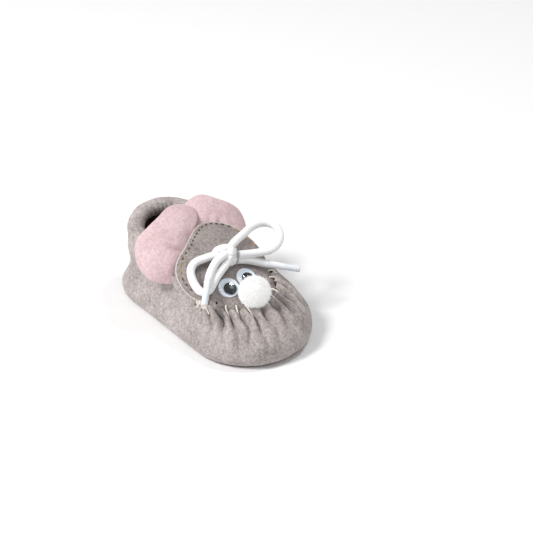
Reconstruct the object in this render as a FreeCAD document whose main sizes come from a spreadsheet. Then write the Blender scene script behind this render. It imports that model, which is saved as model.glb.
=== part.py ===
import FreeCAD, Part
import math
import os
import Sketcher

# Baby bootie: a suede moccasin with a mouse face, for the right foot.
# Millimetres, +Z up. The toe points to -Y and the heel to +Y. "Left" is -X.
# The origin is on the ground, under the middle of the bootie.

V = FreeCAD.Vector
UP = V(0, 0, 1)
FORWARD = V(0, -1, 0)
SIDES = (("left", -1), ("right", 1))

SIZES = {
    # the wrap: stacked outlines, each a heel circle and a toe circle joined by tangents
    "heel_centre": 31.0,
    "wall": 2.4,
    "roof": 2.0,
    "ring1_height": 1.6,
    "ring1_heel": 24.8,
    "ring1_toe": 29.3,
    "ring1_forward": 22.2,
    "ring2_height": 4.8,
    "ring2_heel": 26.3,
    "ring2_toe": 31.0,
    "ring2_forward": 22.5,
    "ring3_height": 11.0,
    "ring3_heel": 22.8,
    "ring3_toe": 29.6,
    "ring3_forward": 21.9,
    "ring4_height": 16.5,
    "ring4_heel": 21.3,
    "ring4_toe": 26.0,
    "ring4_forward": 19.8,
    "ring5_height": 20.0,
    "ring5_heel": 21.4,
    "ring5_toe": 22.8,
    "ring5_forward": 16.2,
    "ring6_height": 21.6,
    "ring6_heel": 21.5,
    "ring6_toe": 23.0,
    "ring6_forward": 9.0,
    "ring7_height": 25.0,
    "ring7_heel": 21.6,
    "ring7_toe": 23.0,
    "ring7_forward": 1.0,
    "ring8_height": 36.0,
    "ring8_heel": 21.8,
    "ring8_toe": 22.0,
    "ring8_forward": -12.0,
    # the topline, seen from the side
    "topline_front": 10.6,
    "topline_front_height": 22.6,
    "topline_knee": 8.0,
    "topline_knee_height": 27.4,
    "topline_back_height": 34.4,
    # sole
    "sole_thickness": 1.6,
    "sole_inset": 1.2,
    "floor_thickness": 1.8,
    "insole_thickness": 2.0,
    "insole_inset": 3.6,
    # collar
    "collar_radius": 17.8,
    "collar_tube": 8.8,
    "collar_bore": 6.2,
    "collar_room": 9.7,
    "collar_elastic": 5.6,
    "collar_front": 16.5,
    "collar_rise": 27.9,
    "collar_tilt": 8.2,
    # apron and tongue, one oval cut across at the fold
    "fold": -12.6,
    "fold_gap": 0.5,
    "suede": 1.6,
    "lining": 1.0,
    "lining_margin": 0.7,
    "crown_arch": 0.0125,
    # ears
    "ear_long": 20.0,
    "ear_short": 14.6,
    "ear_middle": 18.5,
    "ear_reach": 9.0,
    "ear_curve": 44.0,
    "ear_layer": 1.6,
    "ear_gap": 0.05,
    "ear_lift": 9.0,
    "ear_tuck": 2.8,
    "ear_hinge_out": 3.4,
    "ear_hinge_down": 1.5,
    "room": 0.45,
    # eyes and nose
    "eye_size": 10.0,
    "eye_base": 0.9,
    "eye_wall": 0.6,
    "eye_side": 1.1,
    "eye_crown": 1.1,
    "pupil_size": 6.2,
    "pupil_thickness": 0.5,
    "pupil_drop": 0.9,
    "nose_size": 15.0,
    # lace
    "lace": 3.9,
    "lace_squeezed": 2.8,
    "aglet": 3.4,
    "knot": 8.0,
    "hole_spacing": 6.8,
    "thread": 0.7,
}

# Height of the oval's centre line above the ground, from toe to instep.
CROWN_LINE = ((-46, 15.5), (-32, 21.0), (-26, 23.2), (-18, 26.8), (-10, 31.3), (0, 37.0), (8, 40.7), (22, 44.0))

# Right half of the oval's outline seen from above, from its front tip to its rear tip.
OVAL_HALF = ((0, -32), (10, -29.6), (17.2, -22.6), (21.6, -14.5), (24, -5), (22.6, 3), (16.6, 9.8), (8.4, 13.4), (0, 14.3))

# Centre lines of the cord, from the knot outwards.
LACE_ROUTES = {
    "lace_loop_left": (
        (-1.8, -7.0, 37.1), (-5.8, -5.2, 37.6), (-10.0, -4.0, 37.3), (-14.8, -2.4, 36.7), (-18.9, -3.5, 34.4),
        (-21.0, -8.0, 31.0), (-21.4, -13.6, 28.0), (-18.1, -15.9, 28.1), (-13.7, -14.4, 30.8),
        (-8.4, -12.7, 33.3), (-1.5, -11.0, 35.4),
    ),
    "lace_loop_right": (
        (3.1, -6.5, 38.1), (7.6, -5.0, 39.4), (14.4, -3.6, 39.8), (22.6, -0.8, 39.9), (30.2, -1.4, 39.4),
        (33.3, -7.0, 38.5), (29.2, -14.6, 36.7), (21.8, -17.3, 34.6), (14.6, -13.8, 34.3),
        (9.4, -11.9, 34.9), (4.5, -11.1, 36.3),
    ),
    "lace_tail_left": (
        (-1.7, -9.6, 38.8), (-6.8, -9.6, 38.2), (-11.4, -10.8, 35.8), (-15.6, -12.9, 33.2), (-28.7, -24.4, 28.8),
    ),
    "lace_tail_right": (
        (3.6, -11.1, 34.0), (7.8, -11.9, 32.7), (12.2, -13.6, 30.7), (16.2, -15.3, 28.6), (28.7, -27.8, 25.6),
    ),
}

FOLD_PIVOT = V(0, -12.6, 30)
KNOT_CENTRE = V(1.2, -9.2, 36.8)
EYE_PLACES = (("left", -7.9, -17.9), ("right", 3.4, -17.8))
NOSE_CENTRE = V(-2.8, -30.4, 28.2)

doc = FreeCAD.newDocument("BabyBootie")


# ---------------------------------------------------------------- the size sheet

sheet = doc.addObject("Spreadsheet::Sheet", "Sizes")
for row, (alias, value) in enumerate(SIZES.items(), start=1):
    sheet.set(f"A{row}", alias)
    sheet.set(f"B{row}", str(value))
    sheet.setAlias(f"B{row}", alias)
doc.recompute()


def size(alias):
    return float(sheet.get(alias))


# ---------------------------------------------------------------- sketch helpers

def origin_plane(body, role):
    return next(f for f in body.Origin.OriginFeatures if f.Role == role)


def new_sketch(body, name, role="XY_Plane"):
    sketch = body.newObject("Sketcher::SketchObject", name)
    sketch.AttachmentSupport = [(origin_plane(body, role), "")]
    sketch.MapMode = "FlatFace"
    return sketch


def bind(sketch, expression, *constraint):
    """Add a driving constraint and tie its value to the size sheet."""
    index = sketch.addConstraint(Sketcher.Constraint(*constraint))
    sketch.setExpression(f"Constraints[{index}]", expression)


def stadium_sketch(body, name, ring, inset="0", height=None):
    """A heel arc and a toe arc joined by two tangent lines, at one ring's height."""
    sketch = new_sketch(body, name)
    sketch.setExpression("AttachmentOffset.Base.z", height or f"Sizes.{ring}_height")
    heel_centre = V(0, size("heel_centre"), 0)
    toe_centre = V(0, -size(f"{ring}_forward"), 0)
    heel = size(f"{ring}_heel")
    toe = size(f"{ring}_toe")
    lean = math.asin((heel - toe) / (heel_centre.y - toe_centre.y))
    heel_arc = Part.ArcOfCircle(Part.Circle(heel_centre, UP, heel), -lean, math.pi + lean)
    toe_arc = Part.ArcOfCircle(Part.Circle(toe_centre, UP, toe), math.pi + lean, 2 * math.pi - lean)
    sketch.addGeometry(heel_arc)
    sketch.addGeometry(Part.LineSegment(heel_arc.EndPoint, toe_arc.StartPoint))
    sketch.addGeometry(toe_arc)
    sketch.addGeometry(Part.LineSegment(toe_arc.EndPoint, heel_arc.StartPoint))
    for this, following in ((0, 1), (1, 2), (2, 3), (3, 0)):
        sketch.addConstraint(Sketcher.Constraint("Tangent", this, 2, following, 1))
    sketch.addConstraint(Sketcher.Constraint("PointOnObject", 0, 3, -2))
    sketch.addConstraint(Sketcher.Constraint("PointOnObject", 2, 3, -2))
    bind(sketch, "Sizes.heel_centre", "DistanceY", -1, 1, 0, 3, heel_centre.y)
    length = heel_centre.y - toe_centre.y
    bind(sketch, f"Sizes.heel_centre + Sizes.{ring}_forward", "DistanceY", 2, 3, 0, 3, length)
    bind(sketch, f"Sizes.{ring}_heel - {inset}", "Radius", 0, heel)
    bind(sketch, f"Sizes.{ring}_toe - {inset}", "Radius", 2, toe)
    return sketch


def polygon_sketch(body, name, role, corners):
    """A closed outline; each corner is a pair of expressions for its two coordinates."""
    sketch = new_sketch(body, name, role)
    values = [tuple(sheet_value(text) for text in corner) for corner in corners]
    count = len(values)
    for index, (across, along) in enumerate(values):
        next_across, next_along = values[(index + 1) % count]
        sketch.addGeometry(Part.LineSegment(V(across, along, 0), V(next_across, next_along, 0)))
    for index in range(count):
        sketch.addConstraint(Sketcher.Constraint("Coincident", index, 2, (index + 1) % count, 1))
    for index, corner in enumerate(corners):
        for kind, text, value in zip(("DistanceX", "DistanceY"), corner, values[index]):
            bind(sketch, text, kind, -1, 1, index, 1, value)
    return sketch


def sheet_value(text):
    """The value of an expression such as Sizes.fold + 2, read from the sheet."""
    total = 0.0
    for term in filter(None, (piece.strip() for piece in text.replace("- ", "+ -").split("+"))):
        sign = -1.0 if term.startswith("-") else 1.0
        term = term.lstrip("-").strip()
        total += sign * (size(term[len("Sizes."):]) if term.startswith("Sizes.") else float(term))
    return total


def new_body(name):
    body = doc.addObject("PartDesign::Body", name)
    body.Label = name
    return body


def pad(body, name, sketch, length):
    feature = body.newObject("PartDesign::Pad", name)
    feature.Profile = sketch
    feature.setExpression("Length", length)
    return feature


def shape_feature(name, shape, placement=None):
    feature = doc.addObject("Part::Feature", name)
    feature.Label = name
    feature.Shape = shape
    if placement is not None:
        feature.Placement = placement
    return feature


def boolean(kind, name, base, tool):
    feature = doc.addObject(f"Part::{kind}", name)
    feature.Label = name
    feature.Base = base
    feature.Tool = tool
    return feature


# ---------------------------------------------------------------- sole and wrap

def make_outsole():
    body = new_body("outsole")
    outline = stadium_sketch(body, "outsole_outline", "ring1", "Sizes.sole_inset", "0")
    pad(body, "outsole_pad", outline, "Sizes.sole_thickness")
    return body


def make_insole():
    body = new_body("insole_pad")
    height = "Sizes.ring1_height + Sizes.floor_thickness"
    outline = stadium_sketch(body, "insole_outline", "ring3", "Sizes.insole_inset", height)
    pad(body, "insole_foam", outline, "Sizes.insole_thickness")
    return body


def cut_topline(body, name, raised=""):
    """Take away everything above the topline, raised by an expression if one is given."""
    above = polygon_sketch(body, f"{name}_above", "YZ_Plane", (
        ("-60", f"Sizes.topline_front_height{raised}"),
        ("- Sizes.topline_front", f"Sizes.topline_front_height{raised}"),
        ("Sizes.topline_knee", f"Sizes.topline_knee_height{raised}"),
        ("60", f"Sizes.topline_back_height{raised}"),
        ("60", "60"),
        ("-60", "60"),
    ))
    cut = body.newObject("PartDesign::Pocket", f"{name}_topline")
    cut.Profile = above
    cut.Midplane = True
    cut.Type = "ThroughAll"


def make_wrap_room():
    """The wrap's outside as a block, grown by the room that moving pieces keep from it."""
    body = new_body("wrap_room")
    rings = [f"ring{number}" for number in range(1, 9)]
    outlines = [stadium_sketch(body, f"room_{ring}", ring, "(-Sizes.room)") for ring in rings]
    loft = body.newObject("PartDesign::AdditiveLoft", "room_loft")
    loft.Profile = outlines[0]
    loft.Sections = outlines[1:]
    loft.Ruled = True
    cut_topline(body, "room", " + Sizes.room")
    return body


def make_wrap():
    """Outer loft, less the hollow, less everything above the topline."""
    body = new_body("wrap_shell")
    rings = [f"ring{number}" for number in range(1, 9)]
    outer = [stadium_sketch(body, f"outer_{ring}", ring) for ring in rings]
    loft = body.newObject("PartDesign::AdditiveLoft", "outer_loft")
    loft.Profile = outer[0]
    loft.Sections = outer[1:]
    loft.Ruled = True
    inner = []
    for ring in rings:
        height = f"Sizes.{ring}_height"
        if ring == "ring1":
            height += " + Sizes.floor_thickness"
        elif ring == "ring8":
            height += " + 0.1"
        elif ring in ("ring4", "ring5", "ring6", "ring7"):
            height += " - Sizes.roof"
        inner.append(stadium_sketch(body, f"inner_{ring}", ring, "Sizes.wall", height))
    hollow = body.newObject("PartDesign::SubtractiveLoft", "inner_loft")
    hollow.Profile = inner[0]
    hollow.Sections = inner[1:]
    hollow.Ruled = True
    cut_topline(body, "wrap")
    return body


# ---------------------------------------------------------------- apron and tongue

def crown_height(y):
    """Height of the oval's centre line at y, on straight runs between its points."""
    for (y0, z0), (y1, z1) in zip(CROWN_LINE, CROWN_LINE[1:]):
        if y <= y1:
            return z0 + (z1 - z0) * (y - y0) / (y1 - y0)
    return CROWN_LINE[-1][1]


def crown_point(x, y, drop=0.0):
    return V(x, y, crown_height(y) - size("crown_arch") * x * x - drop)


def crown_band(drop, thickness):
    """The arched surface over the foot, lowered by drop and thickened upwards."""
    rows = [[crown_point(x, y, drop) for y, _ in CROWN_LINE] for x in (-32, -16, 0, 16, 32)]
    surface = Part.BSplineSurface()
    surface.interpolate(rows)
    return surface.toShape().extrude(V(0, 0, thickness))


def oval_prism(margin, front=-60.0, back=60.0):
    """The oval seen from above as a tall prism, grown by margin, kept between two Y values."""
    right = [V(x + (margin if x else 0), y + margin * y / 32, 0) for x, y in OVAL_HALF]
    left = [V(-p.x, p.y, 0) for p in reversed(right[1:-1])]
    curve = Part.BSplineCurve()
    curve.interpolate(right + left, PeriodicFlag=True)
    prism = Part.Face(Part.Wire(curve.toShape())).extrude(V(0, 0, 70))
    keep = Part.makeBox(80, back - front, 80, V(-40, front, -5))
    return prism.common(keep)


def cap_band(name, drop, thickness, margin, front=-60.0, back=60.0):
    return shape_feature(name, crown_band(drop, thickness).common(oval_prism(margin, front, back)))


def lace_holes(feature_name, base):
    """Two holes across the knot, for the cord that runs under the tongue."""
    holes = []
    for side in (-1, 1):
        hole = doc.addObject("Part::Cylinder", f"{feature_name}_hole_{'left' if side < 0 else 'right'}")
        hole.setExpression("Radius", "Sizes.lace_squeezed / 2 + 0.15")
        hole.Height = 30
        hole.Placement.Base = V(KNOT_CENTRE.x + side * size("hole_spacing") / 2, KNOT_CENTRE.y, 20)
        holes.append(hole)
    first = boolean("Cut", f"{feature_name}_first_hole", base, holes[0])
    return boolean("Cut", feature_name, first, holes[1])


# ---------------------------------------------------------------- collar

def collar_tube(name, outer, bore=None):
    """A tube bent in a U round the heel, on a plane that falls towards the toe."""
    body = new_body(name)
    path = new_sketch(body, f"{name}_path")
    path.setExpression("AttachmentOffset.Base.z", "Sizes.collar_rise")
    path.AttachmentOffset = FreeCAD.Placement(V(0, 0, size("collar_rise")),
                                              FreeCAD.Rotation(V(1, 0, 0), size("collar_tilt")))
    radius = size("collar_radius")
    front = size("collar_front")
    heel = size("heel_centre")
    path.addGeometry(Part.LineSegment(V(-radius, front, 0), V(-radius, heel, 0)))
    path.addGeometry(Part.ArcOfCircle(Part.Circle(V(0, heel, 0), UP, radius), 0, math.pi))
    path.addGeometry(Part.LineSegment(V(radius, heel, 0), V(radius, front, 0)))
    path.addConstraint(Sketcher.Constraint("Tangent", 0, 2, 1, 2))
    path.addConstraint(Sketcher.Constraint("Tangent", 1, 1, 2, 1))
    path.addConstraint(Sketcher.Constraint("PointOnObject", 1, 3, -2))
    path.addConstraint(Sketcher.Constraint("Vertical", 0))
    path.addConstraint(Sketcher.Constraint("Horizontal", 0, 1, 2, 2))
    bind(path, "Sizes.collar_radius", "Radius", 1, radius)
    bind(path, "Sizes.heel_centre", "DistanceY", -1, 1, 1, 3, heel)
    bind(path, "Sizes.collar_front", "DistanceY", -1, 1, 0, 1, front)
    profile = new_sketch(body, f"{name}_section", "XZ_Plane")
    profile.setExpression("AttachmentOffset.Base.z", "-Sizes.collar_front * cos(Sizes.collar_tilt)")
    height = "Sizes.collar_rise + Sizes.collar_front * sin(Sizes.collar_tilt)"
    level = size("collar_rise") + front * math.sin(math.radians(size("collar_tilt")))
    for alias in (outer, bore):
        if alias:
            index = profile.addGeometry(Part.Circle(V(-radius, level, 0), UP, size(alias) / 2))
            bind(profile, f"Sizes.{alias}", "Diameter", index, size(alias))
            bind(profile, "-Sizes.collar_radius", "DistanceX", -1, 1, index, 3, -radius)
            bind(profile, height, "DistanceY", -1, 1, index, 3, level)
    pipe = body.newObject("PartDesign::AdditivePipe", f"{name}_pipe")
    pipe.Profile = profile
    pipe.Spine = path
    return body


# ---------------------------------------------------------------- ears

def ear_layer(name, side, layer):
    """One suede layer: a slice of a shallow dish, trimmed to the ear's outline."""
    body = new_body(f"{name}_sheet")
    dish = new_sketch(body, f"{name}_dish", "XZ_Plane")
    outer = f"Sizes.ear_curve - {layer} * (Sizes.ear_layer + Sizes.ear_gap)"
    radius = size("ear_curve") - layer * (size("ear_layer") + size("ear_gap"))
    thickness = size("ear_layer")
    spread = math.radians(35)
    arc_out = Part.ArcOfCircle(Part.Circle(V(0, 0, 0), UP, radius), math.pi / 2 - spread, math.pi / 2)
    arc_in = Part.ArcOfCircle(Part.Circle(V(0, 0, 0), UP, radius - thickness), math.pi / 2 - spread, math.pi / 2)
    dish.addGeometry(arc_out)
    dish.addGeometry(arc_in)
    dish.addGeometry(Part.LineSegment(arc_in.EndPoint, arc_out.EndPoint))
    dish.addGeometry(Part.LineSegment(arc_in.StartPoint, arc_out.StartPoint))
    for constraint in (("Coincident", 0, 3, -1, 1), ("Coincident", 1, 3, -1, 1), ("Coincident", 2, 2, 0, 2),
                       ("Coincident", 2, 1, 1, 2), ("Coincident", 3, 2, 0, 1), ("Coincident", 3, 1, 1, 1),
                       ("PointOnObject", 0, 2, -2), ("PointOnObject", 1, 2, -2)):
        dish.addConstraint(Sketcher.Constraint(*constraint))
    bind(dish, outer, "Radius", 0, radius)
    bind(dish, f"{outer} - Sizes.ear_layer", "Radius", 1, radius - thickness)
    bind(dish, "Sizes.ear_long + 2", "DistanceX", -1, 1, 0, 1, radius * math.sin(spread))
    bind(dish, "Sizes.ear_long + 1", "DistanceX", -1, 1, 1, 1, (radius - thickness) * math.sin(spread))
    turn = body.newObject("PartDesign::Revolution", f"{name}_turn")
    turn.Profile = dish
    turn.ReferenceAxis = (dish, ["V_Axis"])
    turn.Angle = 360
    trim = new_sketch(body, f"{name}_outline")
    reach = size("ear_reach") - size("ear_tuck")
    long, short = size("ear_long"), size("ear_short")
    bend = math.asin(reach / short)
    ellipse = Part.ArcOfEllipse(Part.Ellipse(V(0, 0, 0), long, short), -bend, math.pi + bend)
    trim.addGeometry(ellipse)
    trim.addGeometry(Part.LineSegment(ellipse.EndPoint, ellipse.StartPoint))
    edge = 60
    frame = (V(-edge, -edge, 0), V(edge, -edge, 0), V(edge, edge, 0), V(-edge, edge, 0))
    for index, corner in enumerate(frame):
        trim.addGeometry(Part.LineSegment(corner, frame[(index + 1) % 4]))
    cut = body.newObject("PartDesign::Pocket", f"{name}_trim")
    cut.Profile = trim
    cut.Midplane = True
    cut.Type = "ThroughAll"
    along, outward, facing = ear_directions(side)
    low, _ = ear_base(side)
    middle = low + along * size("ear_middle") + outward * size("ear_reach")
    turn = FreeCAD.Rotation(outward.cross(facing), outward, facing, "ZXY")
    body.Placement = FreeCAD.Placement(middle - facing * size("ear_curve"), turn)
    return body


def ear_base(side):
    """Lower and upper end of the seam that holds the ear under the tongue's edge."""
    return V(side * 24.6, 1.0, 28.2), V(side * 1.6, 15.6, 41.0)


def ear_directions(side):
    """Along the seam, outwards over the ear, and square to its face."""
    low, high = ear_base(side)
    along = (high - low).normalize()
    rear = V(side * 21.0, 29.0, 43.5) - low
    outward = (rear - along * rear.dot(along)).normalize()
    lift = FreeCAD.Rotation(along * -side, size("ear_lift") if side > 0 else 0.0)
    outward = lift.multVec(outward)
    return along, outward, along.cross(outward) * -side


def ear_hinge(side):
    """Pivot and axis of the ear's fold, just under the tongue's edge; it lifts with positive turns."""
    along, outward, facing = ear_directions(side)
    low, _ = ear_base(side)
    pivot = low + outward * size("ear_hinge_out") - facing * size("ear_hinge_down")
    return pivot, along * -side


def make_ear(name, side, layer, neighbours):
    """An ear layer, trimmed to clear the other ear, the collar and the wrap over its whole fold."""
    body = ear_layer(name, side, layer)
    doc.recompute()
    other_half = Part.makeBox(60, 80, 80, V(-60 if side > 0 else 0, 0, 0))
    other_half.translate(V(0.2 * side, 0, 0))
    pivot, axis = ear_hinge(side)
    rooms = [other_half]
    for neighbour in neighbours:
        for angle in (0, 10, 20, 30):
            turned = neighbour.Shape.copy()
            turned.rotate(pivot, axis, -angle)
            rooms.append(turned)
    trimmed = body.Shape.cut(rooms)
    return shape_feature(name, max(trimmed.Solids, key=lambda solid: solid.Volume))


# ---------------------------------------------------------------- cord

def cord_path(points):
    """Straight runs joined by the largest tangent arcs that the runs allow."""
    points = [V(*point) for point in points]
    edges = []
    radii = []
    start = points[0]
    for before, corner, after in zip(points, points[1:], points[2:]):
        back = before - corner
        ahead = after - corner
        turn = math.pi - back.getAngle(ahead)
        trim = 0.45 * min(back.Length, ahead.Length)
        radii.append(trim / math.tan(turn / 2))
        arc_start = corner + back.normalize() * trim
        arc_end = corner + ahead.normalize() * trim
        inward = (back + ahead).normalize()
        middle = corner + inward * (radii[-1] / math.cos(turn / 2) - radii[-1])
        edges.append(Part.LineSegment(start, arc_start).toShape())
        edges.append(Part.Arc(arc_start, middle, arc_end).toShape())
        start = arc_end
    edges.append(Part.LineSegment(start, points[-1]).toShape())
    return Part.Wire(edges), radii


def cord_tube(name, points, diameter):
    path, radii = cord_path(points)
    first, second = V(*points[0]), V(*points[1])
    section = Part.Wire(Part.makeCircle(diameter / 2, first, second - first))
    tube = path.makePipeShell([section], True, False)
    expected = math.pi * diameter ** 2 / 4 * path.Length
    print(f"{name}: length {path.Length:.1f}, tightest radius {min(radii):.1f}, "
          f"volume {tube.Volume / expected:.3f} of section times length")
    return tube


def make_lace():
    """The bow: two loops and two tipped tails that leave a round knot."""
    parts = []
    knot = doc.addObject("Part::Sphere", "lace_knot")
    knot.Label = "lace_knot"
    knot.setExpression("Radius", "Sizes.knot / 2")
    knot.Placement.Base = KNOT_CENTRE
    parts.append(knot)
    radius = size("knot") / 2
    knot_ball = Part.makeSphere(radius, KNOT_CENTRE)
    for side, _ in SIDES:
        name = f"lace_loop_{side}"
        tube = cord_tube(name, LACE_ROUTES[name], size("lace"))
        parts.append(shape_feature(name, tube.cut(knot_ball)))
    for side, _ in SIDES:
        name = f"lace_tail_{side}"
        route = LACE_ROUTES[name]
        tube = cord_tube(name, route, size("lace"))
        bend, tip = V(*route[-2]), V(*route[-1])
        direction = (tip - bend).normalize()
        start = bend + direction * (0.45 * bend.distanceToPoint(V(*route[-3])) + 0.2)
        beyond = Part.makeCylinder(6, 40, start, direction)
        core = Part.makeCylinder(size("lace_squeezed") / 2, start.distanceToPoint(tip), start, direction)
        sleeve = Part.makeCylinder(size("aglet") / 2, start.distanceToPoint(tip), start, direction).cut(core)
        parts.append(shape_feature(name, tube.cut(knot_ball).cut(beyond).fuse(core).removeSplitter()))
        parts.append(shape_feature(f"aglet_{side}", sleeve))
    top = crown_point(KNOT_CENTRE.x, KNOT_CENTRE.y).z - 0.6
    low = top - 5.9
    half = size("hole_spacing") / 2
    left_hole, right_hole = KNOT_CENTRE.x - half, KNOT_CENTRE.x + half
    bar_route = ((left_hole, KNOT_CENTRE.y, top), (left_hole, KNOT_CENTRE.y, low),
                 (right_hole, KNOT_CENTRE.y, low), (right_hole, KNOT_CENTRE.y, top))
    parts.append(shape_feature("lace_bar", cord_tube("lace_bar", bar_route, size("lace_squeezed"))))
    return parts


# ---------------------------------------------------------------- face

def crown_normal(x, y):
    step = 0.5
    along_x = crown_point(x + step, y) - crown_point(x - step, y)
    along_y = crown_point(x, y + step) - crown_point(x, y - step)
    return along_x.cross(along_y).normalize()


def eye_frame(x, y):
    """Origin on the crown, Z along its normal and X straight down the slope."""
    normal = crown_normal(x, y)
    down = (FORWARD - normal * FORWARD.dot(normal)).normalize()
    turn = FreeCAD.Rotation(down, V(0, 0, 0), normal, "ZXY")
    return FreeCAD.Placement(crown_point(x, y), turn)


def make_eye(side, x, y, apron):
    frame = eye_frame(x, y)
    disc = doc.addObject("Part::Cylinder", f"eye_disc_{side}")
    disc.setExpression("Radius", "Sizes.eye_size / 2")
    disc.setExpression("Height", "Sizes.eye_base + 0.6")
    disc.Placement = frame.multiply(FreeCAD.Placement(V(0, 0, -0.6), FreeCAD.Rotation()))
    base = boolean("Cut", f"eye_base_{side}", disc, apron)

    dome = new_body(f"eye_dome_{side}")
    outer = "Sizes.eye_size / 2"
    section = new_sketch(dome, f"eye_dome_{side}_section", "XZ_Plane")
    half, wall = size("eye_size") / 2, size("eye_wall")
    foot, shoulder = size("eye_base"), size("eye_base") + size("eye_side")
    top = shoulder + size("eye_crown")
    outline = (V(half - wall, foot, 0), V(half, foot, 0), V(half, shoulder, 0), V(half * 0.6, top - 0.3, 0),
               V(0, top, 0), V(0, top - wall, 0), V(half * 0.6 - 0.3, top - 0.3 - wall, 0),
               V(half - wall, shoulder - 0.2, 0))
    for index, corner in enumerate(outline):
        section.addGeometry(Part.LineSegment(corner, outline[(index + 1) % len(outline)]))
    for index in range(len(outline)):
        section.addConstraint(Sketcher.Constraint("Coincident", index, 2, (index + 1) % len(outline), 1))
    for index in range(len(outline)):
        section.addConstraint(Sketcher.Constraint("Block", index))
    turn = dome.newObject("PartDesign::Revolution", f"eye_dome_{side}_turn")
    turn.Profile = section
    turn.ReferenceAxis = (section, ["V_Axis"])
    turn.Angle = 360
    dome.Placement = frame

    pupil = doc.addObject("Part::Cylinder", f"pupil_{side}")
    pupil.Label = f"pupil_{side}"
    pupil.setExpression("Radius", "Sizes.pupil_size / 2")
    pupil.setExpression("Height", "Sizes.pupil_thickness")
    seat = V(size("pupil_drop"), 0, size("eye_base") + 0.25)
    pupil.Placement = frame.multiply(FreeCAD.Placement(seat, FreeCAD.Rotation()))
    axis = frame.Rotation.multVec(V(-1, 0, 0))
    print(f"pupil_{side}: up-slope axis {axis.x:.4f} {axis.y:.4f} {axis.z:.4f}")
    return [base, dome, pupil]


def make_nose(apron, upper, stitches):
    ball = doc.addObject("Part::Sphere", "nose_ball")
    ball.setExpression("Radius", "Sizes.nose_size / 2")
    ball.Placement.Base = NOSE_CENTRE
    seated = boolean("Cut", "nose_on_apron", ball, apron)
    clear_of_wrap = boolean("Cut", "nose_on_wrap", seated, upper)
    return boolean("Cut", "nose_pompom", clear_of_wrap, stitches)


# ---------------------------------------------------------------- stitches

def oval_point(turn, margin):
    """A point of the oval's outline, by direction from its centre, moved out by margin."""
    right = [V(x, y, 0) for x, y in OVAL_HALF]
    left = [V(-p.x, p.y, 0) for p in reversed(right[1:-1])]
    curve = Part.BSplineCurve()
    curve.interpolate(right + left, PeriodicFlag=True)
    centre = V(0, -9, 0)
    ray = Part.LineSegment(centre, centre + V(math.sin(turn), -math.cos(turn), 0) * 60)
    hit = curve.intersectCC(ray)[0]
    edge = V(hit.X, hit.Y, 0)
    outward = (edge - centre).normalize()
    return edge + outward * margin


def stitch(start, end, thread):
    """One short straight stitch with rounded ends."""
    run = end - start
    bar = Part.makeCylinder(thread / 2, run.Length, start, run)
    return bar.fuse([Part.makeSphere(thread / 2, start), Part.makeSphere(thread / 2, end)]).removeSplitter()


def make_apron_stitches():
    """Whip stitches over the oval's front edge, into the pleated toe."""
    thread = size("thread")
    stitches = []
    count = 12
    for index in range(count):
        turn = math.radians(-70 + 140 * index / (count - 1))
        inner = oval_point(turn, -2.4)
        outer = oval_point(turn, 2.2)
        top = crown_point(inner.x, inner.y, -0.1)
        foot = crown_point(outer.x, outer.y, 0.5)
        stitches.append(stitch(top, foot, thread))
    return shape_feature("apron_stitches", Part.makeCompound(stitches))


def make_stitch_knots():
    knots = []
    for turn in (-77.5, 77.5):
        place = oval_point(math.radians(turn), 0.0)
        knots.append(Part.makeSphere(1.0, crown_point(place.x, place.y, -0.3)))
    return shape_feature("stitch_knots", Part.makeCompound(knots))


def make_topstitching():
    """A line of small stitches just inside the tongue's edge."""
    stitches = []
    count = 27
    for index in range(count):
        turn = math.radians(92 + 176 * index / (count - 1))
        half_stitch = math.radians(2.2)
        start = oval_point(turn - half_stitch, -2.4)
        end = oval_point(turn + half_stitch, -2.4)
        low, high = crown_point(start.x, start.y, -0.05), crown_point(end.x, end.y, -0.05)
        stitches.append(stitch(low, high, size("thread") * 0.7))
    return shape_feature("tongue_topstitching", Part.makeCompound(stitches))


def make_heel_seam():
    """Stitches down the heel's middle, half sunk in the wall."""
    stitches = []
    count = 6
    low, high = size("ring3_height"), 27.0
    pitch = (high - low) / count
    back = size("heel_centre") + size("ring5_heel") + 0.1
    for index in range(count):
        start = V(0, back, low + 4 + pitch * index * 0.75)
        stitches.append(stitch(start, start + V(0, 0, pitch * 0.5), size("thread")))
    return shape_feature("heel_seam_stitches", Part.makeCompound(stitches))


# ---------------------------------------------------------------- assembly

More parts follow.
